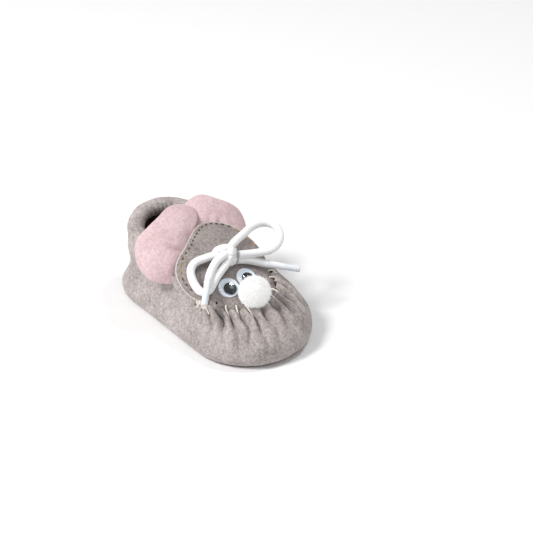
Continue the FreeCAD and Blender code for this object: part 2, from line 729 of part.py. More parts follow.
def build():
    fold_front = size("fold") - size("fold_gap") / 2
    fold_back = size("fold") + size("fold_gap") / 2
    suede = size("suede")
    lining = size("lining")

    pieces = [make_outsole(), make_insole()]
    collar = collar_tube("collar_casing", "collar_tube", "collar_bore")
    solid_collar = collar_tube("collar_outside", "collar_tube")
    pieces += [collar, collar_tube("collar_elastic", "collar_elastic")]

    apron = cap_band("apron", suede, suede, 0.0, back=fold_front)
    pieces.append(apron)
    window = cap_band("foot_window", suede + lining + 0.4, 60.0, 0.9)
    front_window = cap_band("front_window", suede, 60.0, 0.0)
    rear_keep = shape_feature("rear_keep", window.Shape.common(Part.makeBox(80, 60, 80, V(-40, fold_front, 0))))
    shell = make_wrap()
    doc.recompute()
    opened = boolean("Cut", "wrap_opened_front", shell, front_window)
    for angle in (0, 8, 16, 25):
        swung = rear_keep.Shape.copy()
        swung.rotate(FOLD_PIVOT, V(1, 0, 0), angle)
        room = shape_feature(f"tongue_room_{angle}", swung)
        opened = boolean("Cut", f"wrap_opened_{angle}", opened, room)
    upper = boolean("Cut", "upper", opened, solid_collar)
    pieces.append(upper)

    tongue_sheet = cap_band("tongue_sheet", suede, suede, 0.0, front=fold_back)
    pieces.append(lace_holes("tongue", tongue_sheet))
    lining_sheet = cap_band("lining_sheet", suede + lining, lining, size("lining_margin"), front=fold_back)
    pieces.append(lace_holes("tongue_lining", lining_sheet))

    neighbours = [collar_tube("collar_surroundings", "collar_room"), make_wrap_room()]
    doc.recompute()
    for side, sign in SIDES:
        pieces.append(make_ear(f"ear_{side}_front", sign, 0, neighbours))
        pieces.append(make_ear(f"ear_{side}_back", sign, 1, neighbours))
        pivot, axis = ear_hinge(sign)
        print(f"ear_{side}: pivot {pivot.x:.2f} {pivot.y:.2f} {pivot.z:.2f}, "
              f"axis {axis.x:.4f} {axis.y:.4f} {axis.z:.4f}")

    pieces += make_lace()
    for side, x, y in EYE_PLACES:
        pieces += make_eye(side, x, y, apron)
    stitches = make_apron_stitches()
    pieces.append(make_nose(apron, upper, stitches))
    pieces += [stitches, make_stitch_knots(), make_topstitching(), make_heel_seam()]
    doc.recompute()
    return pieces


def check(pieces):
    """Stop before anything is written if an object has failed."""
    for item in doc.Objects:
        if "Invalid" in item.State or "Error" in item.State:
            raise RuntimeError(f"{item.Name} failed: {item.State}")
    for piece in pieces:
        if piece.Shape.isNull() or not piece.Shape.isValid():
            raise RuntimeError(f"{piece.Label} has no valid shape")
        box = piece.Shape.optimalBoundingBox()
        print(f"{piece.Label:22s} {len(piece.Shape.Solids)} solids, {piece.Shape.Volume:9.1f} mm3, "
              f"x {box.XMin:.1f} {box.XMax:.1f}, y {box.YMin:.1f} {box.YMax:.1f}, z {box.ZMin:.1f} {box.ZMax:.1f}")


parts = build()
check(parts)
os.makedirs("parts", exist_ok=True)
for part in parts:
    part.Shape.exportStep(f"parts/{part.Label}.step")
print(f"{len(parts)} nodes")
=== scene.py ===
import math
import random

import bpy
from mathutils import Matrix, Vector, noise


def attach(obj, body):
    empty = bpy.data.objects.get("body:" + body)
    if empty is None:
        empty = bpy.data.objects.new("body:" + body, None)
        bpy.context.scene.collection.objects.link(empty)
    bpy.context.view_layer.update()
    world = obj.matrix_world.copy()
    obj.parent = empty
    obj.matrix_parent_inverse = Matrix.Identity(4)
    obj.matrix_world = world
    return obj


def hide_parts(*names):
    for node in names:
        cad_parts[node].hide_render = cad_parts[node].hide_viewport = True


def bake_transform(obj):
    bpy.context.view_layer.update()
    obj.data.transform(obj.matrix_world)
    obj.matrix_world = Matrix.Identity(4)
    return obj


# Baby bootie: detailed visual model over the CAD frame. Shapes are in millimetres and are scaled to
# metres when a mesh or curve is made.

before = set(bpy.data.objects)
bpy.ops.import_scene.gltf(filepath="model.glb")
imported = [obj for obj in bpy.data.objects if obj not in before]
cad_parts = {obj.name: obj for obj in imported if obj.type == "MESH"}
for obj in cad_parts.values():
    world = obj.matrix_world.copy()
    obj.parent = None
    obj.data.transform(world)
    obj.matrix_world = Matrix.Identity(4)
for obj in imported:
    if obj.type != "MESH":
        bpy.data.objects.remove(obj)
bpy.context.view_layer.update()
random.seed(7)
MM = 0.001


# ---------------------------------------------------------------- camera

AZIMUTH, ELEVATION = math.radians(-43.0), math.radians(33.0)
TO_CAMERA = Vector((math.sin(AZIMUTH) * math.cos(ELEVATION),
                    -math.cos(AZIMUTH) * math.cos(ELEVATION), math.sin(ELEVATION)))
CAMERA_RIGHT = Vector((math.cos(AZIMUTH), math.sin(AZIMUTH), 0.0))
CAMERA_UP = TO_CAMERA.cross(CAMERA_RIGHT)
DISTANCE = 800.0
ORIGIN_RIGHT, ORIGIN_UP = -24.155, -22.222

camera_data = bpy.data.cameras.new("camera")
camera = bpy.data.objects.new("camera", camera_data)
bpy.context.scene.collection.objects.link(camera)
bpy.context.scene.camera = camera
camera_data.sensor_width = 36.0
camera_data.lens = 111.85
camera_data.clip_start = 0.01
camera_data.clip_end = 20.0
camera_place = TO_CAMERA * DISTANCE - CAMERA_RIGHT * ORIGIN_RIGHT - CAMERA_UP * ORIGIN_UP
camera.matrix_world = Matrix((
    (CAMERA_RIGHT.x, CAMERA_UP.x, TO_CAMERA.x, camera_place.x * MM),
    (CAMERA_RIGHT.y, CAMERA_UP.y, TO_CAMERA.y, camera_place.y * MM),
    (CAMERA_RIGHT.z, CAMERA_UP.z, TO_CAMERA.z, camera_place.z * MM),
    (0.0, 0.0, 0.0, 1.0),
))


# ---------------------------------------------------------------- small maths

def lerp(a, b, t):
    return a + (b - a) * t


def clamp(value, low=0.0, high=1.0):
    return max(low, min(high, value))


def smooth(value):
    value = clamp(value)
    return value * value * (3 - 2 * value)


def bump(distance, width):
    return math.exp(-(distance / width) ** 2)


def table_value(table, x):
    """A smooth curve through (x, value, ...) rows; values may be several numbers."""
    xs = [row[0] for row in table]
    last = len(xs) - 1
    if x <= xs[0] or x >= xs[last]:
        end, near = (0, 1) if x <= xs[0] else (last, last - 1)
        t = (x - xs[end]) / (xs[near] - xs[end])
        return [lerp(a, b, t) for a, b in zip(table[end][1:], table[near][1:])]
    k = max(i for i in range(last) if xs[i] <= x)

    def slope(i, j):
        low, high = max(i - 1, 0), min(i + 1, last)
        return (table[high][j] - table[low][j]) / (xs[high] - xs[low])

    h = xs[k + 1] - xs[k]
    t = (x - xs[k]) / h
    values = []
    for j in range(1, len(table[0])):
        a, b = table[k][j], table[k + 1][j]
        m, n = slope(k, j) * h, slope(k + 1, j) * h
        values.append((2 * t**3 - 3 * t**2 + 1) * a + (t**3 - 2 * t**2 + t) * m
                      + (3 * t**2 - 2 * t**3) * b + (t**3 - t**2) * n)
    return values


def along_polyline(points, count):
    """Evenly spaced points on a smooth curve through the given ones."""
    table = [(i, *p) for i, p in enumerate(points)]
    fine = [Vector(table_value(table, i * (len(points) - 1) / 240)) for i in range(241)]
    lengths = [0.0]
    for a, b in zip(fine, fine[1:]):
        lengths.append(lengths[-1] + (b - a).length)
    result, k = [], 0
    for i in range(count):
        target = lengths[-1] * i / (count - 1)
        while k < 239 and lengths[k + 1] < target:
            k += 1
        t = (target - lengths[k]) / max(lengths[k + 1] - lengths[k], 1e-9)
        result.append(fine[k].lerp(fine[k + 1], clamp(t)))
    return result


# ---------------------------------------------------------------- mesh helpers

def make_mesh(name, points, faces, material, body=None, uvs=None):
    mesh = bpy.data.meshes.new(name)
    mesh.from_pydata([Vector(p) * MM for p in points], [], faces)
    mesh.polygons.foreach_set("use_smooth", [True] * len(mesh.polygons))
    if uvs:
        layer = mesh.uv_layers.new(name="UVMap")
        for loop in mesh.loops:
            layer.data[loop.index].uv = uvs[loop.vertex_index]
    mesh.validate()
    mesh.update()
    piece = bpy.data.objects.new(name, mesh)
    bpy.context.scene.collection.objects.link(piece)
    for item in material if isinstance(material, (list, tuple)) else [material]:
        mesh.materials.append(item)
    if body:
        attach(piece, body)
    return piece


def grid_faces(rows, columns, wrap=False):
    faces = []
    for r in range(rows - 1):
        for c in range(columns if wrap else columns - 1):
            d = (c + 1) % columns
            faces.append((r * columns + c, r * columns + d, (r + 1) * columns + d, (r + 1) * columns + c))
    return faces


def tube_mesh(centre, radii, sides, up=None):
    """Points, faces and UVs of a closed tube along a list of centre points."""
    count = len(centre)
    points, uvs = [], []
    side = None
    run = 0.0
    for i, c in enumerate(centre):
        ahead = (centre[min(i + 1, count - 1)] - centre[max(i - 1, 0)]).normalized()
        if side is None:
            side = ahead.cross(up or Vector((0.3, 0.2, 1))).normalized()
        side = (side - ahead * side.dot(ahead)).normalized()
        top = ahead.cross(side)
        run += (c - centre[i - 1]).length if i else 0.0
        for s in range(sides):
            turn = 2 * math.pi * s / sides
            points.append(c + (side * math.cos(turn) + top * math.sin(turn)) * radii[i])
            uvs.append((run, s / sides))
    faces = grid_faces(count, sides, wrap=True)
    for end, order in ((0, 1), (count - 1, -1)):
        points.append(centre[end])
        uvs.append((0, 0))
        for s in range(sides):
            pair = (end * sides + s, end * sides + (s + 1) % sides)
            faces.append((len(points) - 1, *pair[::-order]))
    return points, faces, uvs


def join_parts(parts):
    """Merge several (points, faces, uvs) sets into one."""
    points, faces, uvs = [], [], []
    for part_points, part_faces, part_uvs in parts:
        base = len(points)
        points += part_points
        uvs += part_uvs
        faces += [tuple(base + i for i in face) for face in part_faces]
    return points, faces, uvs


def solidify(piece, thickness, offset=-1.0, rim=None, inner=None):
    modifier = piece.modifiers.new("thickness", "SOLIDIFY")
    modifier.thickness = thickness * MM
    modifier.offset = offset
    if rim is not None:
        modifier.material_offset_rim = rim
    if inner is not None:
        modifier.material_offset = inner
    return modifier


# ---------------------------------------------------------------- materials

def new_material(name):
    material = bpy.data.materials.new(name)
    material.use_nodes = True
    tree = material.node_tree
    return material, tree, tree.nodes["Principled BSDF"]


def noise_node(tree, scale, detail=4.0, rough=0.6):
    texture = tree.nodes.new("ShaderNodeTexNoise")
    place = tree.nodes.new("ShaderNodeTexCoord")
    tree.links.new(place.outputs["Object"], texture.inputs["Vector"])
    texture.inputs["Scale"].default_value = scale
    texture.inputs["Detail"].default_value = detail
    texture.inputs["Roughness"].default_value = rough
    return texture.outputs["Fac"]


def ramp(tree, source, stops):
    node = tree.nodes.new("ShaderNodeValToRGB")
    elements = node.color_ramp.elements
    while len(elements) < len(stops):
        elements.new(0.5)
    for element, (place, color) in zip(elements, stops):
        element.position = place
        element.color = (*color, 1)
    tree.links.new(source, node.inputs["Fac"])
    return node.outputs["Color"]


def mix(tree, factor, a, b):
    node = tree.nodes.new("ShaderNodeMix")
    node.data_type = "RGBA"
    for socket, value in ((node.inputs[0], factor), (node.inputs[6], a), (node.inputs[7], b)):
        if hasattr(value, "is_linked"):
            tree.links.new(value, socket)
        elif isinstance(value, (int, float)):
            socket.default_value = value
        else:
            socket.default_value = (*value, 1)
    return node.outputs[2]


def add_bump(tree, shader, layers):
    previous = None
    for height, strength, distance in layers:
        node = tree.nodes.new("ShaderNodeBump")
        node.inputs["Strength"].default_value = strength
        node.inputs["Distance"].default_value = distance * MM
        tree.links.new(height, node.inputs["Height"])
        if previous:
            tree.links.new(previous, node.inputs["Normal"])
        previous = node.outputs["Normal"]
    tree.links.new(previous, shader.inputs["Normal"])


def suede(name, dark, base, light, nap=1.0):
    """Napped leather: short fibre speckle, lighter brushed patches and a soft sheen."""
    material, tree, shader = new_material(name)
    fibre = noise_node(tree, 1500.0, 6.0, 0.75)
    speck = noise_node(tree, 700.0, 3.0, 0.6)
    patch = noise_node(tree, 95.0, 3.0, 0.5)
    color = ramp(tree, fibre, ((0.37, dark), (0.51, base), (0.66, light)))
    color = mix(tree, 0.35, color, ramp(tree, speck, ((0.38, dark), (0.62, light))))
    color = mix(tree, 0.22, color, ramp(tree, patch, ((0.35, dark), (0.65, light))))
    tree.links.new(color, shader.inputs["Base Color"])
    shader.inputs["Roughness"].default_value = 0.95
    shader.inputs["Specular IOR Level"].default_value = 0.12
    shader.inputs["Sheen Weight"].default_value = 0.35
    shader.inputs["Sheen Roughness"].default_value = 0.55
    shader.inputs["Sheen Tint"].default_value = (*light, 1)
    add_bump(tree, shader, ((fibre, 0.55 * nap, 0.18), (speck, 0.45 * nap, 0.30)))
    return material


def plain(name, color, roughness, speck=0.0, scale=2500.0, specular=0.4):
    material, tree, shader = new_material(name)
    shader.inputs["Base Color"].default_value = (*color, 1)
    shader.inputs["Roughness"].default_value = roughness
    shader.inputs["Specular IOR Level"].default_value = specular
    if speck:
        grain = noise_node(tree, scale)
        darker = tuple(c * (1 - speck) for c in color)
        lighter = tuple(min(1.0, c * (1 + speck)) for c in color)
        tree.links.new(ramp(tree, grain, ((0.35, darker), (0.65, lighter))), shader.inputs["Base Color"])
        add_bump(tree, shader, ((grain, 0.3, 0.08),))
    return material


def braided(name, color, shade, pitch, around):
    """Round braid: two crossing sets of strands that follow the cord's own UVs."""
    material, tree, shader = new_material(name)
    place = tree.nodes.new("ShaderNodeTexCoord")
    split = tree.nodes.new("ShaderNodeSeparateXYZ")
    tree.links.new(place.outputs["UV"], split.inputs[0])

    def maths(operation, a, b=None):
        node = tree.nodes.new("ShaderNodeMath")
        node.operation = operation
        for socket, value in zip(node.inputs, (a, b)):
            if value is None:
                continue
            if hasattr(value, "is_linked"):
                tree.links.new(value, socket)
            else:
                socket.default_value = value
        return node.outputs[0]

    run = maths("MULTIPLY", split.outputs[0], 2 * math.pi * pitch)
    ring = maths("MULTIPLY", split.outputs[1], 2 * math.pi * around)
    first = maths("SINE", maths("ADD", run, ring))
    second = maths("SINE", maths("SUBTRACT", run, ring))
    weave = maths("MULTIPLY", maths("ADD", maths("MAXIMUM", first, second), 1.0), 0.5)
    fuzz = noise_node(tree, 1800.0, 5.0, 0.7)
    color_out = ramp(tree, weave, ((0.15, shade), (0.8, color)))
    tree.links.new(mix(tree, 0.25, color_out, ramp(tree, fuzz, ((0.3, shade), (0.7, color)))),
                   shader.inputs["Base Color"])
    shader.inputs["Roughness"].default_value = 0.85
    shader.inputs["Specular IOR Level"].default_value = 0.2
    shader.inputs["Sheen Weight"].default_value = 0.3
    add_bump(tree, shader, ((weave, 0.35, 0.12), (fuzz, 0.4, 0.10)))
    return material


def clear(name, tint, roughness, haze):
    """Clear film or moulding: light passes, while edges and highlights show."""
    material, tree, shader = new_material(name)
    tree.nodes.remove(shader)
    through = tree.nodes.new("ShaderNodeBsdfTransparent")
    through.inputs["Color"].default_value = (*tint, 1)
    gloss = tree.nodes.new("ShaderNodeBsdfGlossy")
    gloss.inputs["Color"].default_value = (1, 1, 1, 1)
    gloss.inputs["Roughness"].default_value = roughness
    milk = tree.nodes.new("ShaderNodeBsdfDiffuse")
    milk.inputs["Color"].default_value = (*tint, 1)
    facing = tree.nodes.new("ShaderNodeLayerWeight")
    facing.inputs["Blend"].default_value = 0.5
    steep = tree.nodes.new("ShaderNodeMath")
    steep.operation = "POWER"
    tree.links.new(facing.outputs["Facing"], steep.inputs[0])
    steep.inputs[1].default_value = 4.0
    scaled = tree.nodes.new("ShaderNodeMath")
    scaled.operation = "MULTIPLY_ADD"
    tree.links.new(steep.outputs[0], scaled.inputs[0])
    scaled.inputs[1].default_value = 0.55
    scaled.inputs[2].default_value = 0.025
    shine = tree.nodes.new("ShaderNodeMixShader")
    tree.links.new(scaled.outputs[0], shine.inputs[0])
    tree.links.new(through.outputs[0], shine.inputs[1])
    tree.links.new(gloss.outputs[0], shine.inputs[2])
    both = tree.nodes.new("ShaderNodeMixShader")
    both.inputs[0].default_value = haze
    tree.links.new(shine.outputs[0], both.inputs[1])
    tree.links.new(milk.outputs[0], both.inputs[2])
    tree.links.new(both.outputs[0], tree.nodes["Material Output"].inputs["Surface"])
    return material


GREY = suede("grey_suede", (0.165, 0.141, 0.134), (0.375, 0.332, 0.320), (0.64, 0.585, 0.57))
# Apron and tongue: the wrap's grey suede, painted darker; the darkening is painted shade.
GREY_TONGUE_SHADED = suede("grey_suede_tongue_painted_shade", (0.120, 0.102, 0.096), (0.285, 0.250, 0.239), (0.49, 0.440, 0.425))
# Inner face of the suede pieces: the same suede, painted far darker as the shade inside the bootie.
GREY_INSIDE_SHADED = suede("grey_suede_inside_painted_shade", (0.060, 0.048, 0.042), (0.110, 0.090, 0.080), (0.17, 0.14, 0.125))
PINK = suede("pink_suede", (0.46, 0.315, 0.335), (0.64, 0.470, 0.492), (0.78, 0.61, 0.63), 0.8)
RAW_EDGE = plain("raw_edge", (0.50, 0.455, 0.425), 0.95, 0.25, 1800.0, 0.1)
CUT_EDGE = plain("tongue_edge", (0.60, 0.565, 0.545), 0.95, 0.25, 1800.0, 0.1)
SOLE = plain("sole_suede", (0.150, 0.118, 0.105), 0.95, 0.35, 1500.0, 0.1)
INSOLE = plain("insole_cotton", (0.21, 0.175, 0.155), 0.95, 0.25, 1200.0, 0.1)
THREAD = plain("cream_thread", (0.84, 0.79, 0.71), 0.55, 0.15, 4000.0)
DARK_THREAD = plain("brown_thread", (0.145, 0.085, 0.045), 0.6, 0.3, 2500.0)
GOLD_THREAD = plain("gold_thread", (0.52, 0.34, 0.16), 0.5, 0.3, 2500.0)
# Stitch holes: near-black blobs of painted shade where the thread goes into the leather.
HOLE_SHADE = plain("hole_painted_shade", (0.018, 0.013, 0.011), 1.0, specular=0.0)
CORD_CURVE = braided("cotton_cord", (0.90, 0.90, 0.905), (0.76, 0.765, 0.775), 34.0, 5)
CORD_MESH = braided("cotton_cord_knot", (0.90, 0.90, 0.905), (0.76, 0.765, 0.775), 0.55, 5)
FILM = clear("aglet_film", (0.95, 0.97, 0.99), 0.12, 0.34)
TAN_RING = plain("aglet_end", (0.62, 0.36, 0.16), 0.6, 0.3, 3000.0)
EYE_WHITE = plain("eye_white", (0.84, 0.865, 0.90), 0.35)
EYE_CLEAR = clear("eye_clear", (0.97, 0.985, 1.0), 0.02, 0.0)
PUPIL = plain("pupil_black", (0.008, 0.009, 0.011), 0.25, specular=0.35)
POMPOM = plain("pompom_yarn", (0.96, 0.96, 0.955), 0.9, 0.03, 2500.0, 0.1)
FLOOR = plain("floor_pale", (0.88, 0.88, 0.885), 0.8, specular=0.15)

# a little glow stands for the light scattered inside the yarn
yarn = POMPOM.node_tree.nodes["Principled BSDF"].inputs
yarn["Emission Color"].default_value = (1, 1, 1, 1)
yarn["Emission Strength"].default_value = 0.14


# ---------------------------------------------------------------- the form of the bootie

# Height, heel radius, toe radius and how far the toe's centre is forward.
RINGS = (
    (0.2, 22.6, 27.0, 22.0), (1.6, 24.9, 29.4, 22.2), (4.8, 25.7, 30.7, 22.5), (8.0, 24.4, 30.5, 22.3),
    (11.0, 22.9, 29.5, 21.9), (14.0, 21.9, 27.8, 20.9), (16.5, 21.4, 25.9, 19.8), (20.0, 21.3, 22.9, 16.2),
    (25.0, 21.6, 22.6, 8.0), (36.0, 21.8, 22.0, -12.0),
)
HEEL_CENTRE = 31.0
TOE_SHARE, SIDE_SHARE = 0.38, 0.32
CROWN = ((-46, 15.5), (-32, 21.0), (-26, 23.3), (-18, 26.9), (-10, 31.5), (0, 37.0), (8, 40.6), (22, 44.0))
# Reach of the oval's edge from its centre, by direction in degrees; 0 is the toe, +90 is +X.
# Fitted to points picked on the photo, then rounded and moved.
OVAL = (
    (-180, 22.6), (-165, 20.9), (-152, 20.4), (-140, 21.4), (-131, 23.2), (-121, 24.9), (-110, 25.2),
    (-98, 24.4), (-87, 23.3), (-75, 22.5), (-52, 21.9), (-26, 22.9), (0, 23.0), (26, 22.9), (50, 22.3),
    (75, 22.8), (90, 24.0), (104, 26.4), (116, 27.6), (130, 27.3), (140, 27.2), (150, 26.2), (161, 25.2),
    (171, 24.0), (180, 22.6))
OVAL_CENTRE = Vector((0, -9, 0))
# The wrap's upper edge on one side: share of the way round from toe to heel, then x, y, z.
EDGE = (
    (0.00, 0.0, -32.6, 20.9), (0.10, 7.8, -31.1, 20.6), (0.19, 14.7, -26.6, 20.7), (0.28, 19.4, -20.0, 21.5),
    (0.38, 22.2, -13.4, 23.3), (0.46, 23.2, -5.0, 25.6), (0.54, 22.6, 5.0, 27.6), (0.62, 21.6, 17.0, 30.0),
    (0.70, 21.4, 31.0, 33.0), (0.85, 15.2, 46.0, 36.6), (1.00, 0.0, 52.2, 38.2),
)


def crown_z(x, y):
    return table_value(CROWN, y)[0] - 0.0125 * x * x


def crown_point(x, y, up=0.0):
    return Vector((x, y, crown_z(x, y) + up))


def crown_normal(x, y):
    a = crown_point(x + 0.5, y) - crown_point(x - 0.5, y)
    b = crown_point(x, y + 0.5) - crown_point(x, y - 0.5)
    return a.cross(b).normalized()


def oval_edge(turn, margin=0.0):
    """Edge of the oval in a direction from its centre; 0 is the toe and +90 degrees is +X."""
    turn = (turn + math.pi) % (2 * math.pi) - math.pi
    reach = table_value(OVAL, math.degrees(turn))[0] + margin
    return OVAL_CENTRE + Vector((math.sin(turn), -math.cos(turn), 0)) * reach


def outline_point(z, share):
    """The wrap's outline at a height; share runs from the toe (0) to the heel (1) on the +X side."""
    heel, toe, forward = table_value(RINGS, z)
    if share < TOE_SHARE:
        turn = share / TOE_SHARE * math.pi / 2
        return Vector((toe * math.sin(turn), -forward - toe * math.cos(turn), z))
    if share < TOE_SHARE + SIDE_SHARE:
        t = (share - TOE_SHARE) / SIDE_SHARE
        eased = lerp(t, smooth(t), 0.35)
        return Vector((lerp(toe, heel, eased), lerp(-forward, HEEL_CENTRE, t), z))
    turn = (share - TOE_SHARE - SIDE_SHARE) / (1 - TOE_SHARE - SIDE_SHARE) * math.pi / 2
    return Vector((heel * math.cos(turn), HEEL_CENTRE + heel * math.sin(turn), z))


STITCHES = 12
STITCH_TURNS = [math.radians(-70 + 140 * i / (STITCHES - 1)) for i in range(STITCHES)]


def share_of_turn(turn):
    """Share round the wrap's edge that lies in a direction from the oval's centre."""
    best = min(range(400), key=lambda i: abs(
        math.atan2(table_value(EDGE, i / 800)[0], -(table_value(EDGE, i / 800)[1] + 9)) - abs(turn)))
    return math.copysign(best / 800, turn)


VALLEYS = [share_of_turn(turn) for turn in STITCH_TURNS]
BORDERS = [VALLEYS[0] - 0.045] + VALLEYS + [VALLEYS[-1] + 0.045]
# Each fold's own height, how far down it runs and how it leans.
LOBES = [(random.uniform(0.8, 1.25), random.uniform(12.0, 20.0), random.uniform(-0.12, 0.12))
         for _ in BORDERS]
RIDGE, VALLEY = 2.7, 2.5
VALLEY_CENTRE, VALLEY_SPREAD = 4.5, 10.0
END_FOLDS, END_HEIGHT = (0, len(BORDERS) - 3, len(BORDERS) - 2), 0.55


def pleat(signed_share, depth):
    """How far the pleated toe stands out, depth millimetres below its upper edge."""
    sway = 0.006 * math.sin(depth * 0.45 + signed_share * 40) * smooth(depth / 6)
    place = signed_share + sway
    if not BORDERS[0] < place < BORDERS[-1]:
        return 0.0
    k = max(i for i in range(len(BORDERS) - 1) if BORDERS[i] <= place)
    t = (place - BORDERS[k]) / (BORDERS[k + 1] - BORDERS[k])
    height, reach, lean = LOBES[k]
    lobe = math.sin(math.pi * clamp(t + lean * t * (1 - t) * 2))
    edge_roll = 0.72 + 0.28 * smooth(depth / 1.6)
    ridge = RIDGE * height * lobe * math.exp(-(depth / reach) ** 2) * edge_roll
    valley = VALLEY * (1 - lobe) ** 1.3 * math.exp(-((depth - VALLEY_CENTRE) / VALLEY_SPREAD) ** 2)
    return (ridge - valley) * (END_HEIGHT if k in END_FOLDS else 1.0)


def wall_relief(p):
    """Soft unevenness of the wall, its dip under the ears and its creases at the heel."""
    height = smooth((p.z - 1.0) / 6.0)
    out = 0.55 * height * noise.noise(p * 0.075 + Vector((3, 1, 7))) + 0.16 * height * noise.noise(p * 0.28)
    if p.y > -6:
        under_ear = bump(p.z - 17.0, 4.5) * bump(abs(p.y - 8.0), 11.0) * smooth((abs(p.x) - 8) / 10)
        heel = smooth((p.y - 22) / 16)
        out -= 0.9 * under_ear
        out -= 0.45 * bump(p.z - 13.0 - 0.12 * (p.y - 30), 1.8) * heel
        out += 0.35 * bump(p.z - 22.5 - 0.10 * (p.y - 30), 2.6) * heel
    if p.y > 40:
        seam = smooth((p.z - 4) / 4)
        out += (0.35 * bump(abs(p.x) - 1.6, 0.9) - 0.5 * bump(p.x, 0.7)) * seam
    return out


ROWS, HALF = 76, 230
COLUMNS = 2 * HALF
LEVELS = (0.2, 1.6, 4.8, 8.0, 11.0, 14.0, 16.5)


def wrap_column(c):
    """Points of the plain wrap at one place round it, from the sole up to the edge."""
    signed = c / HALF - 1.0
    edge = Vector(table_value(EDGE, abs(signed)))
    heights = (*LEVELS, lerp(LEVELS[-1], edge.z, 0.55))
    spine = [outline_point(z, abs(signed)) for z in heights] + [edge]
    side = 1.0 if signed >= 0 else -1.0
    return [Vector((p.x * side, p.y, p.z)) for p in along_polyline(spine, ROWS)]


def grid_normal(points, rows, columns, r, c):
    up = points[min(r + 1, rows - 1) * columns + c] - points[max(r - 1, 0) * columns + c]
    round_ = points[r * columns + (c + 1) % columns] - points[r * columns + (c - 1) % columns]
    normal = round_.cross(up)
    return normal.normalized() if normal.length > 1e-9 else Vector((0, 0, 1))


wrap_columns = [wrap_column(c) for c in range(COLUMNS)]
plain_wrap = [wrap_columns[c][r] for r in range(ROWS) for c in range(COLUMNS)]
shaped = []
for r in range(ROWS):
    for c in range(COLUMNS):
        p = plain_wrap[r * COLUMNS + c]
        column = wrap_columns[c]
        depth = (column[ROWS - 1] - column[ROWS - 2]).length * (ROWS - 1 - r)
        out = pleat(c / HALF - 1.0, depth) + wall_relief(p)
        shaped.append(p + grid_normal(plain_wrap, ROWS, COLUMNS, r, c) * out)

wrap = make_mesh("wrap", shaped, grid_faces(ROWS, COLUMNS, wrap=True), [GREY, GREY_INSIDE_SHADED, RAW_EDGE], "shoe")
solidify(wrap, 1.9, -1.0, rim=2, inner=1)
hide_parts("upper")


# ---------------------------------------------------------------- sole

def slab(name, levels, material):
    """A closed slab from stacked outlines given as (height, ring height, inset)."""
    count = 160
    points = []
    for z, ring, inset in levels:
        for i in range(2 * count):
            signed = i / count - 1.0
            p = outline_point(ring, abs(signed))
            centre = Vector((0, clamp(p.y, -22.0, HEEL_CENTRE), 0))
            flat = Vector((math.copysign(p.x, signed) if signed else p.x, p.y, 0)) - centre
            q = centre + flat * (1 - inset / flat.length)
            points.append(Vector((q.x, q.y, z)))
    faces = grid_faces(len(levels), 2 * count, wrap=True)
    for level, flip in ((0, False), (len(levels) - 1, True)):
        loop = [level * 2 * count + i for i in range(2 * count)]
        half = [(loop[i], loop[i + 1], loop[2 * count - i - 1], loop[-i]) for i in range(1, count - 1)]
        faces += [face if flip else face[::-1] for face in half]
    return make_mesh(name, points, faces, material, "shoe")


# Each level is its height, the height of the wrap's ring that it follows and its inset.
SOLE_LEVELS = ((0.0, 1.6, 2.4), (0.12, 1.6, 1.5), (0.7, 1.6, 1.0), (1.25, 1.6, 1.1), (1.6, 1.6, 1.9))
EDGE_LEVELS = ((1.15, 1.6, 2.2), (1.2, 1.6, 0.55), (1.55, 1.6, 0.15), (2.0, 1.6, 0.2), (2.1, 1.6, 1.6))
INSOLE_LEVELS = ((3.4, 11.0, 3.8), (4.9, 11.0, 3.5), (5.3, 11.0, 3.9), (5.4, 11.0, 5.5))

sole = slab("sole", SOLE_LEVELS, SOLE)
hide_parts("outsole")
welt = slab("sole_edge", EDGE_LEVELS, RAW_EDGE)
insole = slab("insole", INSOLE_LEVELS, INSOLE)
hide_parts("insole_pad")


# ---------------------------------------------------------------- collar

COLLAR_RADIUS, COLLAR_TUBE = 17.7, 4.1
COLLAR_RISE = ((7, 28.4), (15, 30.0), (31, 33.4), (49, 37.0))


def collar_centre(run):
    """Centre line of the rolled collar; run goes from one front end over the heel to the other."""
    straight = 24.0
    arc = math.pi * COLLAR_RADIUS
    total = 2 * straight + arc
    s = run * total
    if s < straight:
        x, y = -COLLAR_RADIUS, HEEL_CENTRE - straight + s
    elif s < straight + arc:
        turn = (s - straight) / COLLAR_RADIUS
        x, y = -COLLAR_RADIUS * math.cos(turn), HEEL_CENTRE + COLLAR_RADIUS * math.sin(turn)
    else:
        x, y = COLLAR_RADIUS, HEEL_CENTRE - (s - straight - arc)
    return Vector((x, y, table_value(COLLAR_RISE, y)[0]))


COLLAR_STEPS, COLLAR_SIDES = 300, 40
collar_run = [collar_centre(0.02 + 0.96 * i / COLLAR_STEPS) for i in range(COLLAR_STEPS + 1)]
collar_points, collar_faces = tube_mesh(collar_run, [COLLAR_TUBE] * len(collar_run), COLLAR_SIDES)[:2]
for i, centre in enumerate(collar_run):
    scale = lerp(0.55, 1.0, smooth(min(i, COLLAR_STEPS - i) / 26))
    ripple = 0.22 * math.sin(i * 0.62 + 1.8 * math.sin(i * 0.11))
    for s in range(COLLAR_SIDES):
        k = i * COLLAR_SIDES + s
        away = collar_points[k] - centre
        gather = ripple * (0.5 + 0.5 * math.cos(2 * math.pi * s / COLLAR_SIDES))
        lump = 0.38 * noise.noise(collar_points[k] * 0.11) + 0.18 * noise.noise(collar_points[k] * 0.4)
        collar_points[k] = centre + away * scale + away.normalized() * (gather + lump)
collar = make_mesh("collar", collar_points, collar_faces, GREY, "shoe")
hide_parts("collar_casing", "collar_elastic")


# ---------------------------------------------------------------- apron and tongue

APRON_RINGS, APRON_TURNS = 46, 300


